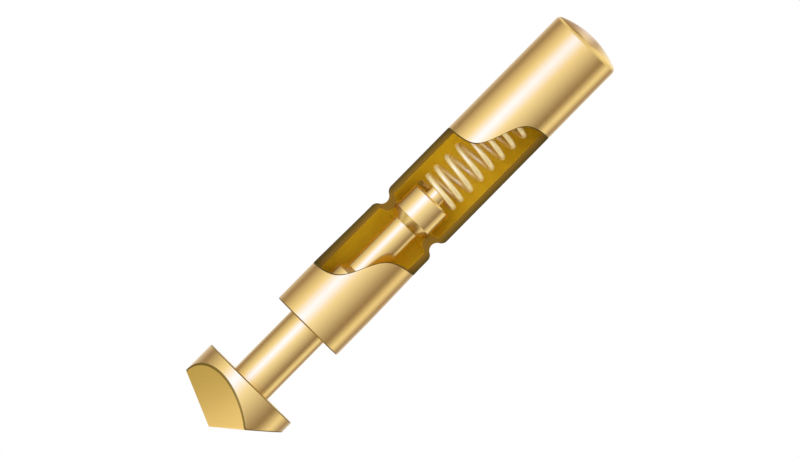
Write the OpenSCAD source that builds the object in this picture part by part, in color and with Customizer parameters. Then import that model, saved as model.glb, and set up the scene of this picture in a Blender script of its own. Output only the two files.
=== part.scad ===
// Spring-loaded contact pin, cut open to show how it works.
// The axis is Z: the closed end of the barrel stands at z = 0 and the contact tip points up.
// The inspection window in the barrel opens towards -Y. All sizes are in millimetres.

/* [Barrel] */
// Outside diameter of the tube
barrel_d = 2.00; // [1.94:0.01:2.06]
// Outside diameter of the thicker collar at the mouth
collar_d = 2.07; // [2.06:0.01:2.20]
// Wall of the tube
wall = 0.185; // [0.16:0.005:0.20]
// Length from the closed end to the mouth
barrel_len = 10.34; // [9.8:0.02:10.7]
// Height of the domed closed end
dome_h = 0.22; // [0.16:0.01:0.30]
// Length of the parallel collar, from the mouth
collar_len = 1.30; // [1.1:0.05:1.6]
// Length of the taper from the collar down to the tube
taper_len = 1.80; // [1.2:0.05:2.0]
// Length of the guide bore that the stem runs in
guide_len = 1.05; // [0.8:0.05:1.1]
// Broken edge at the mouth, inside and outside
mouth_break = 0.03; // [0.01:0.005:0.05]

/* [Rolled crimp] */
// Distance from the mouth to the middle of the crimp
crimp_pos = 3.69; // [3.60:0.01:3.90]
// How far the crimp reaches inside the stem's own radius
crimp_bite = 0.0175; // [0.010:0.0025:0.03]
// Wall at the bottom of the crimp, thickened by the rolling
crimp_wall = 0.235; // [0.20:0.005:0.26]
// Radius of the bead inside the crimp
bead_r = 0.22; // [0.18:0.01:0.26]
// Radius that blends the bead into the chamber
bead_blend_r = 0.10; // [0.06:0.01:0.14]
// Radius at the bottom of the outside groove
groove_r = 0.20; // [0.14:0.01:0.26]
// Radius of the shoulders beside the outside groove
groove_blend_r = 0.20; // [0.12:0.01:0.26]

/* [Window] */
// Distance from the mouth to the middle of the front break line
front_break = 2.06; // [2.02:0.01:2.2]
// Distance from the mouth to the middle of the rear break line
rear_break = 6.91; // [6.4:0.02:7.4]
// How far each end of a break line lies from its middle, along the pin
break_reach = 0.83; // [0.6:0.01:0.85]
// Sideways place of the middle of the front break line
front_shift = 0.03; // [-0.1:0.01:0.1]
// Sideways place of the middle of the rear break line
rear_shift = -0.09; // [-0.12:0.01:0.12]
// Half width over which the front break line turns along the pin
front_bend = 0.38; // [0.25:0.01:0.45]
// Half width over which the rear break line turns along the pin
rear_bend = 0.29; // [0.22:0.01:0.45]

/* [Plunger] */
// Diameter of the head
head_d = 2.85; // [2.4:0.05:3.2]
// Length of the head from its back face to the tip
head_len = 1.54; // [1.44:0.02:1.9]
// Slope of the three facets of the tip, from square to the axis
facet_slope = 40; // [32:1:41]
// Broken edge at the back of the head
head_break = 0.03; // [0.01:0.005:0.08]
// Diameter of the stem
stem_d = 1.155; // [1.13:0.005:1.165]
// Length of the stem from the head to the front cone
stem_len = 3.72; // [3.68:0.02:3.9]
// Length of the front cone, from stem down to neck
front_cone_len = 0.18; // [0.12:0.01:0.24]
// Diameter of the neck
neck_d = 0.80; // [0.66:0.01:0.88]
// Length of the parallel neck
neck_len = 1.70; // [1.5:0.02:1.8]
// Length of the rear cone, from neck out to tail
rear_cone_len = 0.25; // [0.16:0.01:0.32]
// Diameter of the tail that the crimp holds in
tail_d = 1.18; // [1.165:0.005:1.22]
// Length of the parallel tail
tail_len = 0.72; // [0.6:0.02:1.0]
// Broken edge at the back of the tail
tail_break = 0.05; // [0.02:0.01:0.09]
// Diameter of the pilot that centres the spring
pilot_d = 0.56; // [0.4:0.01:0.62]
// Length of the pilot
pilot_len = 0.30; // [0.2:0.02:0.5]
// Broken edge at the end of the pilot
pilot_break = 0.04; // [0.02:0.01:0.08]

/* [Spring] */
// Outside diameter of the coil
spring_od = 1.155; // [1.08:0.005:1.17]
// Diameter of the wire
wire_d = 0.147; // [0.12:0.001:0.16]
// Turns in all
spring_turns = 15; // [12:0.5:16]
// Close turns at each end
end_turns = 1.25; // [1:0.25:2]
// Pitch of the close turns
end_pitch = 0.27; // [0.19:0.01:0.28]

/* [Clearances] */
// Around the tail as it goes in through the guide bore, on the radius
guide_gap = 0.02; // [0.015:0.0025:0.03]
// Left between the cones and the crimp at each end of the travel
stop_gap = 0.01; // [0.005:0.0025:0.02]
// Left between the spring and each of its seats
seat_gap = 0.01; // [0.005:0.0025:0.02]

/* [Hidden] */

$fn = 96;
arc_steps = 10;
coil_steps = 24;
wire_sides = 8;
break_steps = 16;
over = 0.5;

barrel_r = barrel_d / 2;
collar_r = collar_d / 2;
bore_r = barrel_r - wall;
head_r = head_d / 2;
stem_r = stem_d / 2;
neck_r = neck_d / 2;
tail_r = tail_d / 2;
pilot_r = pilot_d / 2;
guide_r = tail_r + guide_gap;
wire_r = wire_d / 2;
coil_r = spring_od / 2 - wire_r;

// The crimp: its bead stands into the neck, so the cones on both sides of the neck stop on it.
crimp_z = barrel_len - crimp_pos;
throat_r = stem_r - crimp_bite;
groove_floor_r = throat_r + crimp_wall;

// The domed end: one ball shape outside, and one a wall thickness smaller inside.
dome_r = (barrel_r * barrel_r + dome_h * dome_h) / (2 * dome_h);
dome_in_r = dome_r - wall;

// The plunger stands where its tail meets the crimp.
tail_top_z = crimp_z - stop_drop(tail_r, rear_cone_len);
tail_back_z = tail_top_z - tail_len;
neck_z = tail_top_z + rear_cone_len;
cone_z = neck_z + neck_len;
stem_z = cone_z + front_cone_len;
head_z = stem_z + stem_len;
tip_z = head_z + head_len;

// The spring fills the space from the domed end to the back of the tail.
spring_low_z = dome_r - sqrt(pow(dome_in_r - wire_r, 2) - coil_r * coil_r) + seat_gap;
spring_high_z = tail_back_z - seat_gap - wire_r;
wide_count = spring_turns - 2 * end_turns - 1;
work_pitch = end_pitch + (spring_high_z - spring_low_z - spring_turns * end_pitch) / wide_count;

// Points on an arc about [x, y], from angle a to angle b. An arc that follows another one starts
// at its step 1, because step 0 is the point where the two meet.
function arc(x, y, r, a, b, first = 0) =
    [for (i = [first : arc_steps]) let (t = a + (b - a) * i / arc_steps) [x + r * cos(t), y + r * sin(t)]];

function backwards(points) = [for (i = [len(points) - 1 : -1 : 0]) points[i]];

// Half the length of a wave that is deep high, with radius r at its crest and blend beside it.
function wave_half(r, blend, deep) = sqrt(2 * (r + blend) * deep - deep * deep);

// The wave that the rolling leaves in a straight wall of radius base, from the top down: three
// arcs that run into each other and into the wall without a corner.
function wave(base, r, blend, deep) =
    let (
        half = wave_half(r, blend, deep),
        turn = acos(1 - deep / (r + blend))
    )
    concat(
        arc(base - blend, crimp_z + half, blend, 0, -turn),
        arc(base - deep + r, crimp_z, r, 180 - turn, 180 + turn, first = 1),
        arc(base - blend, crimp_z - half, blend, turn, 0, first = 1)
    );

// Height between the middle of the crimp and the rim of a cone that stops on its bead. The bead
// meets the cone's face if that comes first, and otherwise the corner of its rim.
function stop_drop(rim_r, run) =
    let (
        reach = bead_r + stop_gap,
        aside = throat_r + bead_r - rim_r,
        slant = norm([run, rim_r - neck_r])
    )
    aside <= reach * run / slant
        ? sqrt(reach * reach - aside * aside)
        : (reach * slant - aside * run) / (rim_r - neck_r);

// Height of an S-shaped break line at x. Its middle is at [shift, z].
function break_z(x, shift, z, bend) = z + break_reach * (x - shift) / norm([x - shift, bend]);

// How many turns past t = 0 are wide ones, with one turn over which the pitch grows.
function wide_turns(t) = t <= 0 ? 0 : t < 1 ? t * t / 2 : t - 0.5;

// Height of the wire's middle, t turns up from the closed end of the barrel.
function coil_z(t) =
    spring_low_z + end_pitch * t
    + (work_pitch - end_pitch) * (wide_turns(t - end_turns) - wide_turns(t - end_turns - wide_count));

// Wall of the barrel on one side of the axis, from the dome up the outside and down the inside.
module barrel_wall() {
    dome_edge = asin(barrel_r / dome_r);
    bore_edge = asin(bore_r / dome_in_r);
    collar_z = barrel_len - collar_len;
    guide_z = barrel_len - guide_len;
    polygon(concat(
        arc(0, dome_r, dome_r, -90, -90 + dome_edge),
        backwards(wave(barrel_r, groove_r, groove_blend_r, barrel_r - groove_floor_r)),
        [
            [barrel_r, collar_z - taper_len],
            [collar_r, collar_z],
            [collar_r, barrel_len - mouth_break],
            [collar_r - mouth_break, barrel_len],
            [guide_r + mouth_break, barrel_len],
            [guide_r, barrel_len - mouth_break],
            [guide_r, guide_z],
            [bore_r, guide_z - (bore_r - guide_r)]
        ],
        wave(bore_r, bead_r, bead_blend_r, bore_r - throat_r),
        arc(0, dome_r, dome_in_r, -90 + bore_edge, -90)
    ));
}

// What the window takes away: the near half of the barrel between the two break lines.
module window() {
    span = collar_r + over;
    line = [for (i = [-break_steps : break_steps]) span * i / break_steps];
    rotate([90, 0, 0])
        linear_extrude(span)
            polygon(concat(
                [for (x = line) [x, break_z(x, front_shift, barrel_len - front_break, front_bend)]],
                [for (x = backwards(line)) [x, break_z(x, rear_shift, barrel_len - rear_break, rear_bend)]]
            ));
}

module barrel() {
    color("goldenrod")
        difference() {
            rotate_extrude() barrel_wall();
            window();
        }
}

// The plunger on one side of the axis, from the pilot up to the tip.
module plunger_outline() {
    polygon([
        [0, tail_back_z - pilot_len],
        [pilot_r - pilot_break, tail_back_z - pilot_len],
        [pilot_r, tail_back_z - pilot_len + pilot_break],
        [pilot_r, tail_back_z],
        [tail_r - tail_break, tail_back_z],
        [tail_r, tail_back_z + tail_break],
        [tail_r, tail_top_z],
        [neck_r, neck_z],
        [neck_r, cone_z],
        [stem_r, stem_z],
        [stem_r, head_z],
        [head_r - head_break, head_z],
        [head_r, head_z + head_break],
        [head_r, tip_z],
        [0, tip_z]
    ]);
}

// Everything on the outer side of one facet, which slopes away from the tip towards +X.
module facet_cut() {
    translate([0, 0, tip_z])
        rotate([0, facet_slope, 0])
            translate([-head_d, -head_d, 0])
                cube([2 * head_d, 2 * head_d, 2 * head_len]);
}

module plunger() {
    color("gold")
        difference() {
            rotate_extrude() plunger_outline();
            for (i = [0 : 2]) rotate([0, 0, 60 + 120 * i]) facet_cut();
        }
}

// A left-hand coil: one ring of points for each step along the wire, and a cap at each end.
module spring() {
    steps = spring_turns * coil_steps;
    points = [
        for (i = [0 : steps], j = [0 : wire_sides - 1])
            let (
                turn = -360 * (i - steps) / coil_steps,
                side = 360 * j / wire_sides,
                r = coil_r + wire_r * cos(side)
            )
            [r * cos(turn), r * sin(turn), coil_z(i / coil_steps) + wire_r * sin(side)]
    ];
    sides = [
        for (i = [0 : steps - 1], j = [0 : wire_sides - 1])
            let (a = i * wire_sides, b = a + wire_sides, k = (j + 1) % wire_sides)
            [a + j, b + j, b + k, a + k]
    ];
    low_cap = [for (j = [0 : wire_sides - 1]) j];
    high_cap = [for (j = [wire_sides - 1 : -1 : 0]) steps * wire_sides + j];
    color("khaki")
        polyhedron(points, concat(sides, [low_cap, high_cap]));
}

barrel();
plunger();
spring();
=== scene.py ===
# %% [markdown]
# # A pogo pin, cut open
# A pogo pin is a spring-loaded contact. A plunger slides in a thin tube against a coil spring, and a
# crimp rolled into the tube keeps it from falling out. This one has a window cut in the tube, so the
# three pieces can be seen at work. The CAD model gives every place and every joint. Here each piece
# gets a smooth surface and the finish of gold plating.

# %% Load the frame
import math
import bmesh
import bpy
import numpy as np
from mathutils import Matrix, Vector


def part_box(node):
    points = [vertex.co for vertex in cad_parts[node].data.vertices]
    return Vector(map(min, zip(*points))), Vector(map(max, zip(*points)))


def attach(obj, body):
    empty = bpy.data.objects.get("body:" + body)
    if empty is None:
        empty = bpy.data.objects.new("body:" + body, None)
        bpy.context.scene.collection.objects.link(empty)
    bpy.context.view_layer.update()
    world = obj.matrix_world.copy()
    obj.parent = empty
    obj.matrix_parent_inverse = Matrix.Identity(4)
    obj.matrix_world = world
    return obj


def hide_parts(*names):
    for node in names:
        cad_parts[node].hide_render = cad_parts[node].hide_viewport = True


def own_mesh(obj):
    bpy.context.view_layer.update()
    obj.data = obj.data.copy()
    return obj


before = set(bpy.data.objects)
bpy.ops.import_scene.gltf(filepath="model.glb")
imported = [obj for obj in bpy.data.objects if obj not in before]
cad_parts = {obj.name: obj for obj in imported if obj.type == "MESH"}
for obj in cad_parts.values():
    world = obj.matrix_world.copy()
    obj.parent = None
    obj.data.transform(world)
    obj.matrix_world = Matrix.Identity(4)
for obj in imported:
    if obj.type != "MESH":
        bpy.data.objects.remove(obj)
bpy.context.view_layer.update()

MM = 0.001

# %% [markdown]
# ## From a formula to a piece
# Every piece here is made of sheets. A sheet is a grid of points, worked out as one whole array. Sheets
# that share an edge share its points exactly, so welding them leaves one closed skin. Another way is to
# model by hand with loops and bevels, but then a change of one length means modelling it again.

# %% Sheets of points
def on_axis(radius, angle, z):
    """A point at this radius and angle round the Z axis, at height z, for whole arrays at once."""
    return np.stack(np.broadcast_arrays(radius * np.cos(angle), radius * np.sin(angle), z), axis=-1)


def turned(path, angle):
    """A profile of (radius, z) points carried round the axis: one row for each point of the profile."""
    path = np.asarray(path, float)
    return on_axis(path[:, :1], angle[None, :], path[:, 1:])


def arc(x, z, r, start, end, steps=24):
    """Points on a circle about (x, z): (x + r cos t, z + r sin t) for t from start to end, in degrees."""
    t = np.radians(np.linspace(start, end, steps + 1))
    return np.stack([x + r * np.cos(t), z + r * np.sin(t)], axis=-1)


def filled(path, step):
    """The same profile with extra points on its long straight stretches, about step apart."""
    parts = [np.linspace(a, b, max(1, math.ceil(np.linalg.norm(b - a) / step)), endpoint=False)
             for a, b in zip(path[:-1], path[1:])]
    return np.concatenate([*parts, path[-1:]])


def bent(a, b, c, t):
    """A curve that leaves a towards b and ends at c: (1 - t)^2 a + 2 t (1 - t) b + t^2 c."""
    return (1 - t) ** 2 * np.asarray(a) + 2 * t * (1 - t) * np.asarray(b) + t ** 2 * np.asarray(c)


# %% One mesh from several sheets
def quads(rows, cols, closed, first):
    """The four corners of every face of a grid: each point, its neighbour, and the two in the next row."""
    i = np.arange(rows - 1)[:, None] * cols
    j = np.arange(cols if closed else cols - 1)[None, :]
    k = (j + 1) % cols
    return (first + np.stack([i + j, i + k, i + cols + k, i + cols + j], axis=-1)).reshape(-1, 4)


def make_piece(name, sheets, finishes, crease=35):
    """Welds sheets, given as (grid in mm, whether it closes round, finish), and turns every face outwards."""
    points, faces, finish, first = [], [], [], 0
    for grid, closed, index in sheets:
        rows, cols = grid.shape[:2]
        made = quads(rows, cols, closed, first)
        shape = (rows - 1, cols if closed else cols - 1)
        points.append(grid.reshape(-1, 3) * MM)
        faces.append(made)
        finish.append(np.broadcast_to(index, shape).reshape(-1))
        first += rows * cols
    mesh = bpy.data.meshes.new(name)
    mesh.from_pydata(np.concatenate(points).tolist(), [], np.concatenate(faces).tolist())
    for material in finishes:
        mesh.materials.append(material)
    mesh.polygons.foreach_set("material_index", np.concatenate(finish).astype(np.int32))
    shell = bmesh.new()
    shell.from_mesh(mesh)
    bmesh.ops.remove_doubles(shell, verts=shell.verts, dist=1e-7)
    bmesh.ops.dissolve_degenerate(shell, edges=shell.edges, dist=1e-8)
    bmesh.ops.recalc_face_normals(shell, faces=shell.faces)
    loose = sum(1 for e in shell.edges if len(e.link_faces) != 2)
    volume = shell.calc_volume(signed=True) / MM ** 3
    shell.to_mesh(mesh)
    shell.free()
    mesh.polygons.foreach_set("use_smooth", np.ones(len(mesh.polygons), bool))
    mesh.set_sharp_from_angle(angle=math.radians(crease))
    piece = bpy.data.objects.new(name, mesh)
    bpy.context.scene.collection.objects.link(piece)
    print(f"{name}: {len(mesh.polygons)} faces, {volume:.3f} mm3, {loose} open edges")
    return piece


# %% [markdown]
# ## Writing a finish as sums
# A finish is a small graph of nodes. Wrapping a socket in a class with + and * lets the graph be written
# like a formula, and one method adds every other kind of node.

# %% Sockets that add and multiply
class Term:
    """A number that varies over a surface. An operation on it adds the Math node that works it out."""

    def __init__(self, finish, socket):
        self.finish, self.socket = finish, socket

    def __add__(self, other):
        return self.finish.work("ADD", self, other)

    def __radd__(self, other):
        return self.finish.work("ADD", other, self)

    def __sub__(self, other):
        return self.finish.work("SUBTRACT", self, other)

    def __rsub__(self, other):
        return self.finish.work("SUBTRACT", other, self)

    def __mul__(self, other):
        return self.finish.work("MULTIPLY", self, other)

    def __rmul__(self, other):
        return self.finish.work("MULTIPLY", other, self)

    def __truediv__(self, other):
        return self.finish.work("DIVIDE", self, other)

    def __rtruediv__(self, other):
        return self.finish.work("DIVIDE", other, self)


# %% A finish and its nodes
class Finish:
    """The nodes of a new material, or of another holder, such as the world."""

    def __init__(self, name, holder=None):
        self.holder = holder or bpy.data.materials.new(name)
        self.holder.use_nodes = True
        self.tree = self.holder.node_tree
        self.tree.nodes.clear()

    def add(self, kind, settings=None, inputs=None, out=0):
        """Adds a node: first its settings, then the values or links of its sockets. Gives one output."""
        node = self.tree.nodes.new(kind)
        for key, value in (settings or {}).items():
            setattr(node, key, value)
        for key, value in (inputs or {}).items():
            if isinstance(value, Term):
                self.tree.links.new(value.socket, node.inputs[key])
            else:
                node.inputs[key].default_value = value
        return Term(self, node.outputs[out])

    def work(self, operation, a, b=0.0):
        """A Math node on one or two numbers."""
        return self.add("ShaderNodeMath", {"operation": operation}, {0: a, 1: b})

    def place(self):
        """Where a point of the piece is, in metres from the origin."""
        return self.add("ShaderNodeTexCoord", out="Object")

    def parts(self, vector):
        """The X, Y and Z of a vector."""
        return [self.add("ShaderNodeSeparateXYZ", None, {0: vector}, out=n) for n in range(3)]

    def stretched(self, vector, scale):
        """A vector times one number for each axis."""
        return self.add("ShaderNodeVectorMath", {"operation": "MULTIPLY"}, {0: vector, 1: scale})

    def noise(self, vector, detail=2.0):
        return self.add("ShaderNodeTexNoise", None, {"Vector": vector, "Scale": 1.0, "Detail": detail})

    def between(self, amount, low, high, start=0.0, end=1.0):
        """low where amount is at most start, high where it is at least end, and even steps between."""
        return self.add("ShaderNodeMapRange", {"interpolation_type": "SMOOTHSTEP"},
                        {"Value": amount, "From Min": start, "From Max": end,
                         "To Min": low, "To Max": high})

    def tone(self, amount, a, b):
        """Colour a where amount is 0, and colour b where it is 1."""
        return self.add("ShaderNodeMix", {"data_type": "RGBA"},
                        {"Factor": amount, 6: (*a, 1.0) if isinstance(a, tuple) else a,
                         7: (*b, 1.0) if isinstance(b, tuple) else b}, out=2)

    def relief(self, height, strength, distance):
        """A slope of the surface worked out from height. Strength 1 is as deep as distance."""
        return self.add("ShaderNodeBump", None,
                        {"Height": height, "Strength": strength, "Distance": distance})

    def surface(self, **inputs):
        """The closing shader. An underscore in a name stands for the space in the socket's name."""
        named = {k.replace("_", " "): v for k, v in inputs.items()}
        shader = self.add("ShaderNodeBsdfPrincipled", None, named)
        self.tree.links.new(shader.socket, self.tree.nodes.new("ShaderNodeOutputMaterial").inputs[0])
        return self.holder


# %% [markdown]
# ## The finishes
# All three pieces are gold over brass. Gold takes its look from what it mirrors, so the finish itself is
# nearly plain: a warm metal, fine turning rings, and slow changes of tone. The cut faces of the barrel
# are bare and duller, with painted shade towards the outer skin, and its inside sees little light, so both
# get a darker finish.

# %% Turned gold
MARK = 0.004 * MM  # how deep a tool mark is


def turned_gold(name, colour, worn, roughness, lines, relief, metal=1.0):
    """Metal whose tone drifts slowly. Its tool marks are noise, as fine on X, Y and Z as lines says."""
    f = Finish(name)
    place = f.place()
    drift = f.between(f.noise(f.stretched(place, (500, 500, 260)), 3.0), 0.0, 1.0, 0.3, 0.7)
    marks = f.noise(f.stretched(place, lines), 4.0)
    return f.surface(Base_Color=f.tone(drift * 0.6, colour, worn), Metallic=metal,
                     Roughness=roughness + (marks - 0.5) * 0.10 + drift * 0.03,
                     Normal=f.relief(marks, relief, MARK))


barrel_gold = turned_gold("barrel-gold", (0.96, 0.69, 0.25), (0.92, 0.63, 0.21),
                          0.22, (1500, 1500, 9000), 0.10)
plunger_gold = turned_gold("plunger-gold", (0.96, 0.70, 0.26), (0.92, 0.65, 0.22),
                           0.21, (900, 900, 26000), 0.14)
# Painted shade: a dark brown gold on the barrel's mouth chamfer, the plunger head's back edge and the corner
# round its flats, so these edges read as dark lines.
edge_shade_gold = turned_gold("edge-shade-gold", (0.34, 0.23, 0.05), (0.26, 0.17, 0.03),
                          0.40, (900, 900, 9000), 0.10)
# Painted light: the spring is a paler copy of the gold and only half metal, so the wire reads bright inside
# the dim bore.
brightened_spring_gold = turned_gold("brightened-spring-gold", (1.0, 0.82, 0.40), (0.97, 0.77, 0.35),
                          0.36, (7000, 7000, 7000), 0.10, 0.5)

# %% [markdown]
# ## Cut faces and the bore
# A cut face is bare brass with fine saw lines along the pin, and darker towards the outer skin, where the
# darkening is painted shade. The bore gets thin and uneven plating, and light reaches it only through the
# window. One finish with a mask would do for both, but two small ones are easier to read. Neither is a
# mirror, so both keep their own colour.

# %% Cut face and chamber
def cut_gold():
    """Sawn brass: browner towards the bore, and darker at the outer skin by painted shade, with fine lines
    along the pin.
    """
    f = Finish("barrel-cut")
    place = f.place()
    x, y, _ = f.parts(place)
    radius = f.work("SQRT", x * x + y * y)
    # Painted shade: the cut face grows darker from the bore out to the outer skin.
    painted_skin_shade = f.between(radius, 0.0, 1.0, 0.82 * MM, 0.99 * MM)
    saw = f.noise(f.stretched(place, (30000, 4000, 3000)), 3.0)
    colour = f.tone(painted_skin_shade, (0.30, 0.150, 0.003), (0.105, 0.066, 0.001))
    return f.surface(Base_Color=f.tone(saw * 0.35, colour, (0.17, 0.105, 0.002)), Metallic=0.0,
                     Specular_IOR_Level=0.12, Roughness=0.55 + saw * 0.12, Normal=f.relief(saw, 0.15, MARK))


def chamber_gold():
    """The bore: thin, uneven plating over drawn brass, duller than the outside."""
    f = Finish("barrel-chamber")
    place = f.place()
    cloud = f.noise(f.stretched(place, (1200, 1200, 500)), 3.0)
    drawn = f.noise(f.stretched(place, (9000, 9000, 900)), 3.0)
    colour = f.tone(f.between(cloud, 0.0, 1.0, 0.3, 0.7), (1.0, 0.74, 0.03), (0.94, 0.67, 0.02))
    return f.surface(Base_Color=colour, Metallic=0.08, Specular_IOR_Level=0.3,
                     Roughness=0.44 + drawn * 0.10, Normal=f.relief(drawn, 0.12, MARK))


barrel_cut, barrel_chamber = cut_gold(), chamber_gold()
print("finishes:", [m.name for m in bpy.data.materials if m.users or m.name.startswith("barrel")])

# %% [markdown]
# ## The barrel
# The real tube is drawn, closed with a dome at one end, and rolled inwards at the crimp. The window is
# bounded by two S-shaped break lines, the draughtsman's sign for a part that goes on. A Boolean cut would
# leave ragged triangles along them. Here the rows of the grid lean until they lie on the break lines, so
# the edge is clean and the tube stays round.

# %% Sizes of the barrel
barrel_low, barrel_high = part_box("barrel")
mouth, collar_r = barrel_high.z / MM, barrel_high.x / MM
tube_r, wall, dome_h, guide_r = 1.0, 0.185, 0.22, 0.61
bore_r = tube_r - wall
collar_z, taper_z, guide_z, mouth_break = mouth - 1.30, mouth - 3.10, mouth - 1.05, 0.03
crimp_z, throat_r, groove_floor_r = mouth - 3.69, 0.56, 0.795
dome_r = (tube_r ** 2 + dome_h ** 2) / (2 * dome_h)
closed_z, waist_z, flare_z, lip_z, throat_end_z = 1.5, 4.6, 7.2, 9.2, 9.08
groove_r, groove_blend, bead_r, bead_blend = 0.20, 0.20, 0.22, 0.10
rim_turn, rim_up = 2.6, 0.11  # the dome's soft rim: degrees taken from the dome, and mm up the tube
rear_break_z, front_break_z, swing = mouth - 6.91, mouth - 2.06, 0.83
print(f"mouth at {mouth:.2f} mm, collar radius {collar_r:.3f} mm, dome radius {dome_r:.3f} mm")

# %% Profiles of the barrel
def wave(base, r, blend, deep):
    """The crimp's side from the bottom up: arcs of radius blend, r and blend, and r goes deep below base."""
    half = math.sqrt(2 * (r + blend) * deep - deep * deep)
    turn = math.degrees(math.acos(1 - deep / (r + blend)))
    return np.concatenate([arc(base - blend, crimp_z - half, blend, 0, turn),
                           arc(base - deep + r, crimp_z, r, 180 + turn, 180 - turn, 40)[1:],
                           arc(base - blend, crimp_z + half, blend, -turn, 0)[1:]])


def along(path, rows):
    """The same path with its points spread evenly over its length."""
    run = np.concatenate([[0.0], np.cumsum(np.linalg.norm(np.diff(path, axis=0), axis=1))])
    even = np.linspace(0.0, run[-1], rows)
    return np.stack([np.interp(even, run, path[:, 0]), np.interp(even, run, path[:, 1])], axis=-1)


groove_wave = wave(tube_r, groove_r, groove_blend, tube_r - groove_floor_r)
bead_wave = wave(bore_r, bead_r, bead_blend, bore_r - throat_r)
groove = along(np.concatenate([[[tube_r, waist_z]], groove_wave, [[tube_r, flare_z]]]), 150)
bead = along(np.concatenate([[[bore_r, waist_z]], bead_wave, [[bore_r, flare_z]]]), 150)
dome_edge = math.degrees(math.asin(tube_r / dome_r)) - 90
bore_edge = math.degrees(math.asin(bore_r / (dome_r - wall))) - 90
dome_ball = arc(0, dome_r, dome_r, -90, dome_edge - rim_turn, 40)
dome_rim = bent(dome_ball[-1], [tube_r, dome_h], [tube_r, dome_h + rim_up], np.linspace(0, 1, 12)[1:, None])
dome = np.concatenate([dome_ball, dome_rim, [[tube_r, closed_z]]])
dome_inside = np.concatenate([[[bore_r, closed_z]], arc(0, dome_r, dome_r - wall, bore_edge, -90)])
lip_side = np.array([[collar_r, lip_z], [collar_r, mouth - mouth_break]])
lip_edge = np.array([[collar_r, mouth - mouth_break], [collar_r - mouth_break, mouth]])
lip = np.array([[collar_r - mouth_break, mouth], [guide_r + mouth_break, mouth],
                [guide_r, mouth - mouth_break], [guide_r, guide_z],
                [bore_r, guide_z - (bore_r - guide_r)], [bore_r, throat_end_z]])
print(f"profile points: dome {len(dome)}, crimp {len(groove)} and {len(bead)}, lip {len(lip)}")

# %% Rows that lean on the break lines
def break_line(middle, shift, bend):
    """Height of an S over x: middle + swing (x - shift) / sqrt((x - shift)^2 + bend^2)."""
    return lambda x: middle + swing * (x - shift) / np.hypot(x - shift, bend)


def level(z):
    """The same height at every x."""
    return lambda x: z + 0 * x


rear_line, front_line = break_line(rear_break_z, -0.09, 0.29), break_line(front_break_z, 0.03, 0.38)


def leaning(share, layer, angle, low, high):
    """Points of the wall. Height goes from low(x) to high(x) with share, and radius from the outside to
    the bore with layer. Each needs the other, as x is radius times cos(angle), so rounds of substitution
    settle both."""
    radius = tube_r - wall * layer + 0 * (share + angle)
    for _ in range(16):
        x = radius * np.cos(angle)
        z = low(x) + (high(x) - low(x)) * share
        outer = np.interp(z, [taper_z, collar_z], [tube_r, collar_r])
        radius = outer + (bore_r - outer) * layer
    return on_axis(radius, angle, z)


# %% The barrel as one skin
COLS = 192
around = np.linspace(0, 2 * np.pi, COLS, endpoint=False)
behind, before = around[:COLS // 2 + 1], np.append(around[COLS // 2:], 2 * np.pi)
OUTSIDE, CUT, CHAMBER, SHADED_EDGE = 0, 1, 2, 3


def column(n):
    """n shares from 0 to 1, one for each row of a sheet."""
    return np.linspace(0.0, 1.0, n)[:, None]


def ease(angle):
    """0 on the back half of the tube and at the cut faces, rising to 1 round the front: t^2 (3 - 2 t)."""
    t = np.clip(-np.sin(angle) / run_in, 0, 1)
    return t * t * (3 - 2 * t)


def moved(line, distance):
    """A break line moved along the pin by distance round the front, and not at all behind."""
    return lambda x: line(x) + distance * ease(around)


# Round the front, a narrow bevel along each break line takes the cut finish. Its outer end is the darkest, so
# the painted shade makes a dark line along the break.
strip, bevel, run_in = 0.034, 0.16, 0.3
rear_rim, front_rim = moved(rear_line, -strip), moved(front_line, strip)
rim_depth = column(2) * bevel * ease(around)
in_front = np.where(np.arange(COLS) >= COLS // 2, CUT, OUTSIDE)[None, :]
skins = [
    (turned(filled(dome, 0.15), around), True, OUTSIDE),
    (leaning(column(30), 0, around, level(closed_z), rear_rim), True, OUTSIDE),
    (leaning(column(2), rim_depth, around, rear_rim, rear_line), True, in_front),
    (leaning(column(40), 0, behind, rear_line, level(waist_z)), False, OUTSIDE),
    (turned(groove, behind), False, OUTSIDE),
    (leaning(column(40), 0, behind, level(flare_z), front_line), False, OUTSIDE),
    (leaning(column(2), rim_depth[::-1], around, front_line, front_rim), True, in_front),
    (leaning(column(30), 0, around, front_rim, level(lip_z)), True, OUTSIDE),
    (turned(filled(lip_side, 0.12), around), True, OUTSIDE),
    # The mouth's chamfer takes the dark edge gold: painted shade, a dark ring round the mouth.
    (turned(lip_edge, around), True, SHADED_EDGE),
    (turned(filled(lip, 0.12), around), True, OUTSIDE),
    (leaning(column(30), 1, around, front_line, level(throat_end_z)), True, CHAMBER),
    (leaning(column(40), 1, behind, level(flare_z), front_line), False, CHAMBER),
    (turned(bead, behind), False, CHAMBER),
    (leaning(column(40), 1, behind, rear_line, level(waist_z)), False, CHAMBER),
    (leaning(column(30), 1, around, level(closed_z), rear_line), True, CHAMBER),
    (turned(filled(dome_inside, 0.15), around), True, CHAMBER),
]
rim = bevel * ease(before)
for line in (rear_line, front_line):
    skins.append((leaning(0, rim + (1 - rim) * column(8), before, line, line), False, CUT))
across = np.linspace(0, 1, 8)[None, :]
for side in (0.0, np.pi):
    middle = groove[:, None] * (1 - across[..., None]) + bead[:, None] * across[..., None]
    skins += [(leaning(column(40), across, side, rear_line, level(waist_z)), False, CUT),
              (on_axis(middle[..., 0], side, middle[..., 1]), False, CUT),
              (leaning(column(40), across, side, level(flare_z), front_line), False, CUT)]
barrel = make_piece("barrel-shell", skins, [barrel_gold, barrel_cut, barrel_chamber, edge_shade_gold])
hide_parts("barrel")
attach(barrel, "barrel")

# %% [markdown]
# ## The plunger
# The real plunger is turned from one bar, and three flats are ground on its head to make the point. A
# profile spun round the axis gives all of it but the flats. There the height of each point is the lowest
# of three slopes, with a smooth maximum in place of a sharp one, so each ridge catches a thin light.

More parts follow.
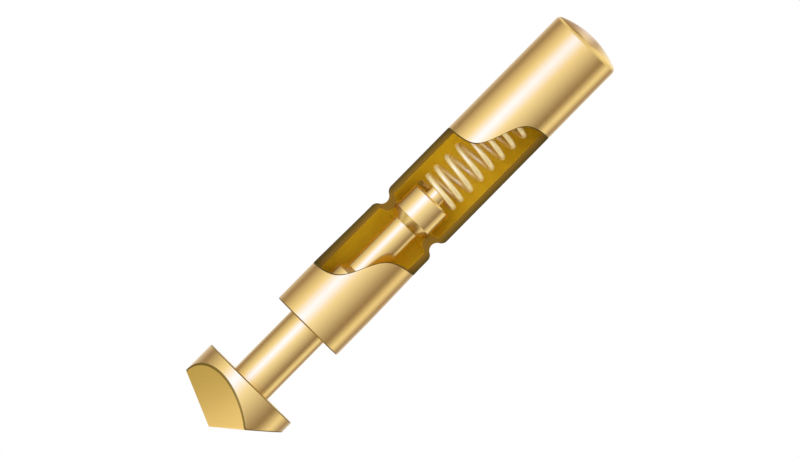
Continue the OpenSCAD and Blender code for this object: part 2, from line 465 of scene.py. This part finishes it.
# %% Sizes and profile of the plunger
tip_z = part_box("plunger")[1].z / MM
head_r, stem_r, neck_r, tail_r, pilot_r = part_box("plunger")[1].x / MM, 0.5775, 0.40, 0.59, 0.28
head_z = tip_z - 1.54
stem_z = head_z - 3.72
cone_z = stem_z - 0.18
neck_z = cone_z - 1.70
tail_z = neck_z - 0.25
back_z = tail_z - 0.72
pilot_z = back_z - 0.30
pilot_break, tail_break, head_break = 0.04, 0.05, 0.03
pilot = [[0, pilot_z], [pilot_r - pilot_break, pilot_z], [pilot_r, pilot_z + pilot_break], [pilot_r, back_z]]
tail = [[tail_r - tail_break, back_z], [tail_r, back_z + tail_break], [tail_r, tail_z]]
waist = [[neck_r, neck_z], [neck_r, cone_z]]
stem = [[stem_r, stem_z], [stem_r, head_z], [head_r - head_break, head_z]]
shaft = np.array([*pilot, *tail, *waist, *stem])
back_edge = np.array([[head_r - head_break, head_z], [head_r, head_z + head_break]])
print(f"plunger from {pilot_z:.2f} to {tip_z:.2f} mm, head radius {head_r:.3f} mm")

# %% The plunger as one skin
ground_deg, ridge = 40, 28  # how steep a flat is, and how sharp the ridges between flats are
turn = np.linspace(0, 2 * np.pi, 480, endpoint=False)
facing = np.maximum(np.cos(turn[None, :] - np.radians([[60], [180], [300]])), 0)
slope = math.tan(math.radians(ground_deg)) * (facing ** ridge).sum(axis=0) ** (1 / ridge)
rim_z = tip_z - slope * head_r
soft = 0.035
wall_z = head_z + head_break
wall_rows = on_axis(head_r, turn, wall_z + (rim_z - soft - wall_z) * column(12))
corner_r = bent(head_r, head_r, head_r - soft, column(7))
corner_z = bent(rim_z - soft, rim_z, rim_z + slope * soft, column(7))
out = (head_r - soft) * column(40)[::-1]
facets = on_axis(out, turn, tip_z - slope * out)
corner = on_axis(corner_r, turn, corner_z)
# The head's back edge and the corner round the flats take the dark edge gold: painted shade along them.
plunger_skins = [(turned(filled(shaft, 0.12), turn), True, 0), (turned(back_edge, turn), True, 1),
                 (wall_rows, True, 0), (corner, True, 1), (facets, True, 0)]
plunger = make_piece("plunger-turned", plunger_skins, [plunger_gold, edge_shade_gold], crease=28)
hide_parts("plunger")
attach(plunger, "plunger")

# %% [markdown]
# ## The spring
# A compression spring is wound with its last turns close together, so that it sits flat. A circle is
# carried along a helix whose pitch grows from close to wide and back. A curve with a bevel would do too.

# %% The spring as one tube
wire_r, coil_r, turns, end_turns, end_pitch = 0.0735, 0.504, 15, 1.25, 0.27
seat_gap = 0.01
spring_low = dome_r - math.sqrt((dome_r - wall - wire_r) ** 2 - coil_r ** 2) + seat_gap
spring_high = back_z - seat_gap - wire_r
wide = turns - 2 * end_turns - 1
pitch = end_pitch + (spring_high - spring_low - turns * end_pitch) / wide


def wide_turns(t):
    """How many wide turns lie below turn t: the pitch grows evenly over one turn, and is then constant."""
    return np.where(t <= 0, 0, np.where(t < 1, t * t / 2, t - 0.5))


steps = np.linspace(0, turns, turns * 96 + 1)
height = spring_low + end_pitch * steps + (pitch - end_pitch) * (
    wide_turns(steps - end_turns) - wide_turns(steps - end_turns - wide))
coil = -2 * np.pi * (steps - turns)
centre = on_axis(coil_r, coil, height)
ahead = np.gradient(centre, axis=0)
ahead /= np.linalg.norm(ahead, axis=1, keepdims=True)
away = on_axis(1.0, coil, 0 * height)
up = np.cross(ahead, away)
ring = np.linspace(0, 2 * np.pi, 20, endpoint=False)[None, :, None]
tube = centre[:, None] + wire_r * (away[:, None] * np.cos(ring) + up[:, None] * np.sin(ring))
caps = [(np.stack([tube[end], np.broadcast_to(centre[end], tube[end].shape)]), True, 1) for end in (0, -1)]
spring = make_piece("spring-coil", [(tube, True, 0), *caps], [brightened_spring_gold, barrel_cut])
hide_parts("spring")
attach(spring, "spring")
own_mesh(spring)

# %% [markdown]
# ## The studio
# Polished gold looks like its surroundings, so it stands in a light tent: a wall of white paper with three
# brown panels that put dark bands on a round part, and one bright strip for the highlight. The
# tent's light is for reflections alone. The camera sees a white world and a pale floor below the pin.

# %% The light tent
WHITE = 1.05
LAMP = 6.0  # how many times as bright as white paper a lamp may be


def lit(light):
    """The colour of a panel. Below white paper it is brown, and above it is a lamp of cooler white."""
    paper, dark, over = min(light, 1), max(0.0, 1 - light), max(0.0, light - 1)
    red, green, blue = paper, paper * (1 - 0.36 * dark), paper * (1 - 0.45 * dark)
    return red + 0.06 * over, green + 0.26 * over, blue + 1.7 * over


def panels(f, amount, stops):
    """A ramp over amount with one panel for each (place, light), in order from place 0 to place 1."""
    ramp = f.add("ShaderNodeValToRGB", None, {0: amount})
    bands = ramp.socket.node.color_ramp
    for place, _ in stops[1:-1]:
        bands.elements.new(place)
    for stop, (_, light) in zip(bands.elements, stops):
        stop.color = (*[c / LAMP for c in lit(light)], 1)
    return ramp


def tent():
    """A wall round the pin that glows. Its colour is a ramp over the compass: degrees from -Y towards -X."""
    back, left_panel, left_paper, key, front = (-180, WHITE), (-120, 0.3), (-60, 1.0), (-30, 3.0), (0, 1.1)
    right_panel, rim_strip, far_panel = (75, 0.25), (105, 1.0), (135, 0.3)
    stops = [back, left_panel, left_paper, key, front, right_panel, rim_strip, far_panel, (180, WHITE)]
    shares = [(degrees / 360 + 0.5, light) for degrees, light in stops]
    f = Finish("tent-paper")
    x, y, _ = f.parts(f.place())
    compass = f.work("ARCTAN2", 0.0 - x, 0.0 - y)
    ramp = panels(f, compass / (2 * math.pi) + 0.5, shares)
    paper = f.surface(Base_Color=(0, 0, 0, 1), Roughness=1.0, Emission_Color=ramp, Emission_Strength=LAMP)
    wall_around = turned(np.array([[60, -60], [60, 90]]), np.linspace(0, 2 * np.pi, 96, endpoint=False))
    piece = make_piece("tent", [(wall_around, True, 0)], [paper])
    piece.visible_camera = piece.visible_diffuse = False


tent()


# %% [markdown]
# ## Cards for both ends
# The wall can't be seen in faces that look up or down the pin, so each end gets its own card: one over the
# point and one under the dome. A lid on the tent would do, but every face at that end would mirror it.

# %% The cards at both ends
def tip_card():
    """A small card over the point, white fading to brown, so the near flat runs from dark to light."""
    f = Finish("tip-card-paper")
    x, _, _ = f.parts(f.place())
    fade = f.between(x, 0.0, 1.0, 2.7 * MM, 4.6 * MM)
    card = f.surface(Base_Color=(0, 0, 0, 1), Roughness=1.0, Emission_Strength=1.0,
                     Emission_Color=f.tone(fade, (0.98, 0.92, 0.78), (0.50, 0.44, 0.24)))
    x, y = np.meshgrid(np.linspace(-4, 10, 8), np.linspace(-4, 12, 8))
    piece = make_piece("tip-card", [(np.stack([x, y, 0 * x + tip_z + 8], axis=-1), False, 0)], [card])
    piece.visible_camera = piece.visible_diffuse = False


tip_card()


def dome_card():
    """A card below the closed end: paper, a brown panel, a lamp and another panel, so the dome has bands."""
    f = Finish("dome-card-paper")
    x, _, _ = f.parts(f.place())
    stops = [(0.0, 1.0), (0.3, 0.4), (0.65, 1.2), (1.0, 0.4)]
    card = f.surface(Base_Color=(0, 0, 0, 1), Roughness=1.0, Emission_Strength=LAMP,
                     Emission_Color=panels(f, f.between(x, 0.0, 1.0, -3.6 * MM, 3.6 * MM), stops))
    x, y = np.meshgrid(np.linspace(-12, 12, 8), np.linspace(-4, 40, 8))
    piece = make_piece("dome-card", [(np.stack([x, y, 0 * x - 10.0], axis=-1), False, 0)], [card])
    piece.visible_camera = piece.visible_diffuse = piece.visible_shadow = False


dome_card()

# %% [markdown]
# ## World and floor
# A small part is best shown on white, with no edge to the ground. A plain world lights it evenly from all
# sides, and looks pure white to the camera. A wide disc of pale paper lies well below it. A room with lamps
# would do too, but its shadows would hide the inside of the window.

# %% World and floor
light = Finish("studio", bpy.data.worlds.new("studio"))
bpy.context.scene.world = light.holder
camera_ray, glossy_ray, clear_ray = [light.add("ShaderNodeLightPath", out=name) for name in
                                     ("Is Camera Ray", "Is Glossy Ray", "Is Transmission Ray")]
strength = light.between(camera_ray + glossy_ray + clear_ray, 0.95, 1.0)
glow = light.add("ShaderNodeBackground", None, {"Color": (1, 1, 1, 1), "Strength": strength})
light.tree.links.new(glow.socket, light.tree.nodes.new("ShaderNodeOutputWorld").inputs[0])

paper = Finish("floor-paper")
grain = paper.noise(paper.stretched(paper.place(), (900, 900, 900)), 3.0)
floor_finish = paper.surface(Base_Color=paper.tone(grain * 0.3, (0.86, 0.86, 0.85), (0.82, 0.82, 0.81)),
                             Roughness=0.8 + grain * 0.1)
disc = turned(np.array([[0.0, -14.0], [30.0, -14.0], [60.0, -14.0], [60.0, -14.5], [0.0, -14.5]]),
              np.linspace(0, 2 * np.pi, 96, endpoint=False))
floor = make_piece("floor", [(disc, True, 0)], [floor_finish])

# %% [markdown]
# ## The camera
# A cutaway reads best with hardly any perspective, so the lens is very long and far away. The camera looks
# square at the window, and is rolled so that the pin lies aslant with its point down and to the left.

# %% The camera
lens, away_mm = 700.0, 395.5
aim = Vector((0.076, 0.0, 6.91)) * MM
tilt = math.radians(45.4)
up_axis = Vector((math.cos(tilt), 0, -math.sin(tilt)))
right_axis = Vector((-math.sin(tilt), 0, -math.cos(tilt)))
camera = bpy.data.objects.new("camera", bpy.data.cameras.new("camera"))
camera.data.lens, camera.data.sensor_width = lens, 36.0
camera.data.clip_start, camera.data.clip_end = 0.01, 5.0
facing_back = right_axis.cross(up_axis)
camera.matrix_world = Matrix.Translation(aim + facing_back * away_mm * MM) @ Matrix(
    (right_axis, up_axis, facing_back)).transposed().to_4x4()
bpy.context.scene.collection.objects.link(camera)
bpy.context.scene.camera = camera
bpy.context.scene.view_settings.view_transform = "Standard"
print("camera looks along", tuple(round(-v, 3) for v in facing_back))
